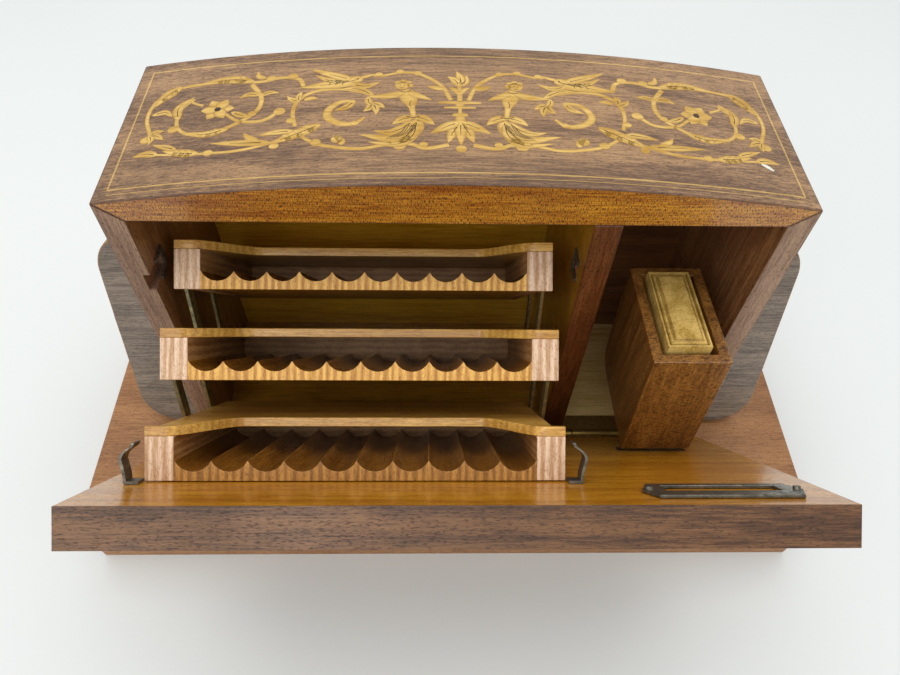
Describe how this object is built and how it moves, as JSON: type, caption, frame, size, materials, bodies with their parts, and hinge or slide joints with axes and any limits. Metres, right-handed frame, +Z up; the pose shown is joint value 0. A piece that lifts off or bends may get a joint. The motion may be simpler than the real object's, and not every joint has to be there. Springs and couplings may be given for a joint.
{
  "type": "musical cigarette dispenser",
  "caption": "Marquetry cabinet on a musical plinth; its fall front carries linked cigarette trays and an upright matchbox holder.",
  "frame": {"origin": "centre of the plinth's flat underside", "axes": "+X along the cabinet to the right as seen from the front, +Y towards the back, +Z up"},
  "size_m": [0.286, 0.1836, 0.1692],
  "materials": {
    "walnut_top": "french polished walnut with pale inlay",
    "mahogany": "satin polished mahogany",
    "door_wood": "gloss polished golden mahogany",
    "tray_wood": "satin orange-brown hardwood",
    "cover_wood": "gloss golden veneer",
    "plinth_wood": "satin mid brown",
    "pale_wood": "thin varnish",
    "wing_wood": "worn dark stain",
    "brass": "aged",
    "link_brass": "dull, greenish",
    "dark_steel": "aged, dark",
    "gilt_card": "thin gilt sheet",
    "drawer_card": "matt card"
  },
  "bodies": {
    "cabinet": {"plinth_top": "plinth_wood", "plinth_front_rail": "plinth_wood", "plinth_back_rail": "plinth_wood", "plinth_left_rail": "plinth_wood", "plinth_right_rail": "plinth_wood", "plinth_bottom": "pale_wood", "left_wall": "mahogany", "right_wall": "mahogany", "top_board": "walnut_top", "cabinet_back": "pale_wood", "cabinet_floor": "pale_wood", "divider": "mahogany", "left_keeper": "dark_steel", "right_keeper": "dark_steel", "left_wing": "wing_wood", "right_wing": "wing_wood", "hinge_fixed_leaf": "brass", "hinge_pin": "dark_steel", "movement_bedplate": "brass", "comb": "dark_steel", "governor_frame": "brass"},
    "door": {"door_panel": "door_wood", "hinge_moving_leaf": "brass", "holder_door_leaf": "dark_steel", "striker_frame": "dark_steel", "left_catch_spring": "dark_steel", "right_catch_spring": "dark_steel", "lower_tray_bed": "tray_wood", "lower_tray_left_cheek": "tray_wood", "lower_tray_right_cheek": "tray_wood", "lower_tray_back_strip": "tray_wood", "lower_tray_cover": "cover_wood"},
    "lower_front_links": {"lower_front_link_left": "link_brass", "lower_front_link_right": "link_brass"},
    "lower_rear_links": {"lower_rear_link_left": "link_brass", "lower_rear_link_right": "link_brass"},
    "middle_tray": {"middle_tray_bed": "tray_wood", "middle_tray_left_cheek": "tray_wood", "middle_tray_right_cheek": "tray_wood", "middle_tray_back_strip": "tray_wood", "middle_tray_cover": "cover_wood"},
    "upper_front_links": {"upper_front_link_left": "link_brass", "upper_front_link_right": "link_brass"},
    "upper_rear_links": {"upper_rear_link_left": "link_brass", "upper_rear_link_right": "link_brass"},
    "upper_tray": {"upper_tray_bed": "tray_wood", "upper_tray_left_cheek": "tray_wood", "upper_tray_right_cheek": "tray_wood", "upper_tray_back_strip": "tray_wood", "upper_tray_cover": "cover_wood"},
    "holder": {"holder_box": "mahogany", "holder_hinge_leaf": "dark_steel"},
    "match_sleeve": {"matchbox_sleeve": "gilt_card"},
    "match_drawer": {"matchbox_drawer": "drawer_card"},
    "barrel": {"spring_barrel": "brass"},
    "key": {"winding_key": "dark_steel"},
    "cylinder": {"music_cylinder": "brass"},
    "fly": {"air_brake_fly": "dark_steel"},
    "stop_pin": {"stop_plunger": "dark_steel"}
  },
  "joints": [
    {"name": "door_hinge", "type": "hinge", "parent": "cabinet", "child": "door", "pos_m": [0, -0.0323, 0.035], "axis": [-1, 0, 0], "range_deg": [0, 37.2]},
    {"name": "lower_front_link_pivot", "type": "hinge", "parent": "door", "child": "lower_front_links", "pos_m": [-0.029, -0.06214, 0.08457], "axis": [1, 0, 0], "range_deg": [0, 25.3]},
    {"name": "lower_rear_link_pivot", "type": "hinge", "parent": "door", "child": "lower_rear_links", "pos_m": [-0.029, -0.04642, 0.06386], "axis": [1, 0, 0], "range_deg": [0, 25.3]},
    {"name": "middle_tray_pivot", "type": "hinge", "parent": "lower_front_links", "child": "middle_tray", "pos_m": [-0.029, -0.05417, 0.11474], "axis": [1, 0, 0], "range_deg": [-25.3, 0]},
    {"name": "upper_front_link_pivot", "type": "hinge", "parent": "middle_tray", "child": "upper_front_links", "pos_m": [-0.029, -0.03324, 0.09212], "axis": [1, 0, 0], "range_deg": [0, 25.3]},
    {"name": "upper_rear_link_pivot", "type": "hinge", "parent": "middle_tray", "child": "upper_rear_links", "pos_m": [-0.029, -0.01752, 0.07141], "axis": [1, 0, 0], "range_deg": [0, 25.3]},
    {"name": "upper_tray_pivot", "type": "hinge", "parent": "upper_front_links", "child": "upper_tray", "pos_m": [-0.029, -0.02527, 0.12228], "axis": [1, 0, 0], "range_deg": [-25.3, 0]},
    {"name": "holder_hinge", "type": "hinge", "parent": "door", "child": "holder", "pos_m": [0.07175, -0.0583, 0.06925], "axis": [1, 0, 0], "range_deg": [0, 41.4]},
    {"name": "matchbox_lift", "type": "slide", "parent": "holder", "child": "match_sleeve", "axis": [0, 0.0732, 0.9973], "range_m": [0, 0.011]},
    {"name": "match_drawer_slide", "type": "slide", "parent": "match_sleeve", "child": "match_drawer", "axis": [0, 0.0732, 0.9973], "range_m": [0, 0.011]},
    {"name": "stop_pin_slide", "type": "slide", "parent": "cabinet", "child": "stop_pin", "axis": [0, 0, 1], "range_m": [0, 0.0018]},
    {"name": "barrel_spin", "type": "hinge", "parent": "cabinet", "child": "barrel", "pos_m": [-0.06, 0, 0.013], "axis": [0, 0, 1], "continuous": true},
    {"name": "cylinder_spin", "type": "hinge", "parent": "cabinet", "child": "cylinder", "pos_m": [-0.026, 0.006, 0.018], "axis": [1, 0, 0], "continuous": true},
    {"name": "fly_spin", "type": "hinge", "parent": "cabinet", "child": "fly", "pos_m": [-0.003, 0.0165, 0.016], "axis": [0, 0, 1], "continuous": true},
    {"name": "key_turn", "type": "hinge", "parent": "cabinet", "child": "key", "pos_m": [-0.06, 0, 0.004], "axis": [0, 0, 1], "continuous": true}
  ],
  "couplings": [
    {"joint": "lower_front_link_pivot", "follows": "door_hinge", "ratio": 0.68},
    {"joint": "lower_rear_link_pivot", "follows": "door_hinge", "ratio": 0.68},
    {"joint": "middle_tray_pivot", "follows": "door_hinge", "ratio": -0.68},
    {"joint": "upper_front_link_pivot", "follows": "door_hinge", "ratio": 0.68},
    {"joint": "upper_rear_link_pivot", "follows": "door_hinge", "ratio": 0.68},
    {"joint": "upper_tray_pivot", "follows": "door_hinge", "ratio": -0.68},
    {"joint": "holder_hinge", "follows": "door_hinge", "ratio": 1.1129},
    {"joint": "stop_pin_slide", "follows": "door_hinge", "m_per_rad": 0.002695},
    {"joint": "cylinder_spin", "follows": "barrel_spin", "ratio": -4},
    {"joint": "fly_spin", "follows": "barrel_spin", "ratio": 12}
  ]
}
